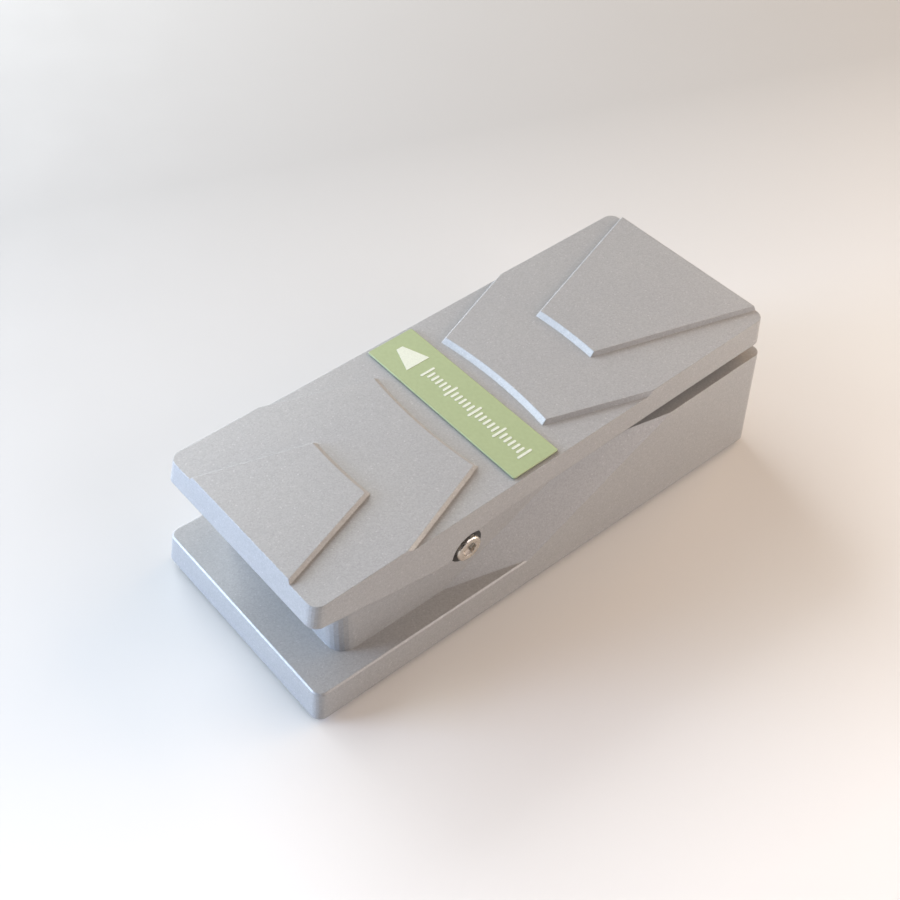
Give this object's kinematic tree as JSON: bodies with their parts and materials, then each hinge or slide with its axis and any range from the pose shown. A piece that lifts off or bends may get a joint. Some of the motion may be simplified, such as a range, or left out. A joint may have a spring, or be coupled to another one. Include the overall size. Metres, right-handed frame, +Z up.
{
  "type": "volume pedal",
  "caption": "Compact cast foot pedal for volume: a stepped treadle rocks on a side-screwed pivot over a drafted base and turns a gear-driven potentiometer.",
  "frame": {"origin": "floor level under the middle of the pedal, jacks included", "axes": "+X to the player's right, +Y from the heel end to the toe end, +Z up"},
  "size_m": [0.077, 0.19, 0.0571],
  "materials": {
    "cast_silver": "fine silver-grey sparkle paint on cast aluminium, satin",
    "lime_label": "lime-green printed sheet, satin",
    "bright_steel": "bright plated steel",
    "sheet_steel": "plated sheet",
    "brass": "bearing bronze and brass, turned",
    "black_rubber": "matt",
    "white_nylon": "moulded nylon",
    "black_plastic": "moulded",
    "green_board": "solder-masked board"
  },
  "bodies": {
    "chassis": {"base_body": "cast_silver", "board_capacitor_1": "black_plastic", "board_capacitor_2": "black_plastic", "board_chip": "black_plastic", "board_screw_1": "bright_steel", "board_screw_2": "bright_steel", "board_screw_3": "bright_steel", "board_screw_4": "bright_steel", "board_spacer_1": "brass", "board_spacer_2": "brass", "board_spacer_3": "brass", "board_spacer_4": "brass", "bottom_cover": "sheet_steel", "bracket_screw_1": "bright_steel", "bracket_screw_2": "bright_steel", "circuit_board": "green_board", "cover_screw_1": "bright_steel", "cover_screw_2": "bright_steel", "cover_screw_3": "bright_steel", "cover_screw_4": "bright_steel", "cover_screw_5": "bright_steel", "cover_screw_6": "bright_steel", "heel_stop": "black_rubber", "jack_input_body": "black_plastic", "jack_input_nut": "bright_steel", "jack_input_washer": "bright_steel", "jack_output_body": "black_plastic", "jack_output_nut": "bright_steel", "jack_output_washer": "bright_steel", "jack_tuner_body": "black_plastic", "jack_tuner_nut": "bright_steel", "jack_tuner_washer": "bright_steel", "pivot_axle": "bright_steel", "pivot_screw_left": "bright_steel", "pivot_screw_right": "bright_steel", "pivot_washer_left": "black_plastic", "pivot_washer_right": "black_plastic", "pot_body": "sheet_steel", "pot_bracket": "sheet_steel", "pot_nut": "bright_steel", "pot_washer": "bright_steel", "rubber_foot_1": "black_rubber", "rubber_foot_2": "black_rubber", "rubber_foot_3": "black_rubber", "rubber_foot_4": "black_rubber", "thrust_washer_left": "white_nylon", "thrust_washer_right": "white_nylon", "toe_stop": "black_rubber"},
    "rocker": {"gear_rack": "white_nylon", "label_plate": "lime_label", "pivot_bush_left": "brass", "pivot_bush_right": "brass", "rack_screw_1": "bright_steel", "rack_screw_2": "bright_steel", "treadle": "cast_silver"},
    "pot_rotor": {"pinion": "white_nylon", "pinion_set_screw": "bright_steel", "pot_shaft": "bright_steel"}
  },
  "joints": [
    {"name": "treadle_hinge", "type": "hinge", "parent": "chassis", "child": "rocker", "pos_m": [0, -0.03803, 0.0325], "axis": [1, 0, 0], "range_deg": [0, 15]},
    {"name": "pot_turn", "type": "hinge", "parent": "chassis", "child": "pot_rotor", "pos_m": [0, 0.02284, 0.0261], "axis": [1, 0, 0], "range_deg": [-172, 0]}
  ],
  "couplings": [
    {"joint": "pot_turn", "follows": "treadle_hinge", "ratio": -11.429}
  ]
}
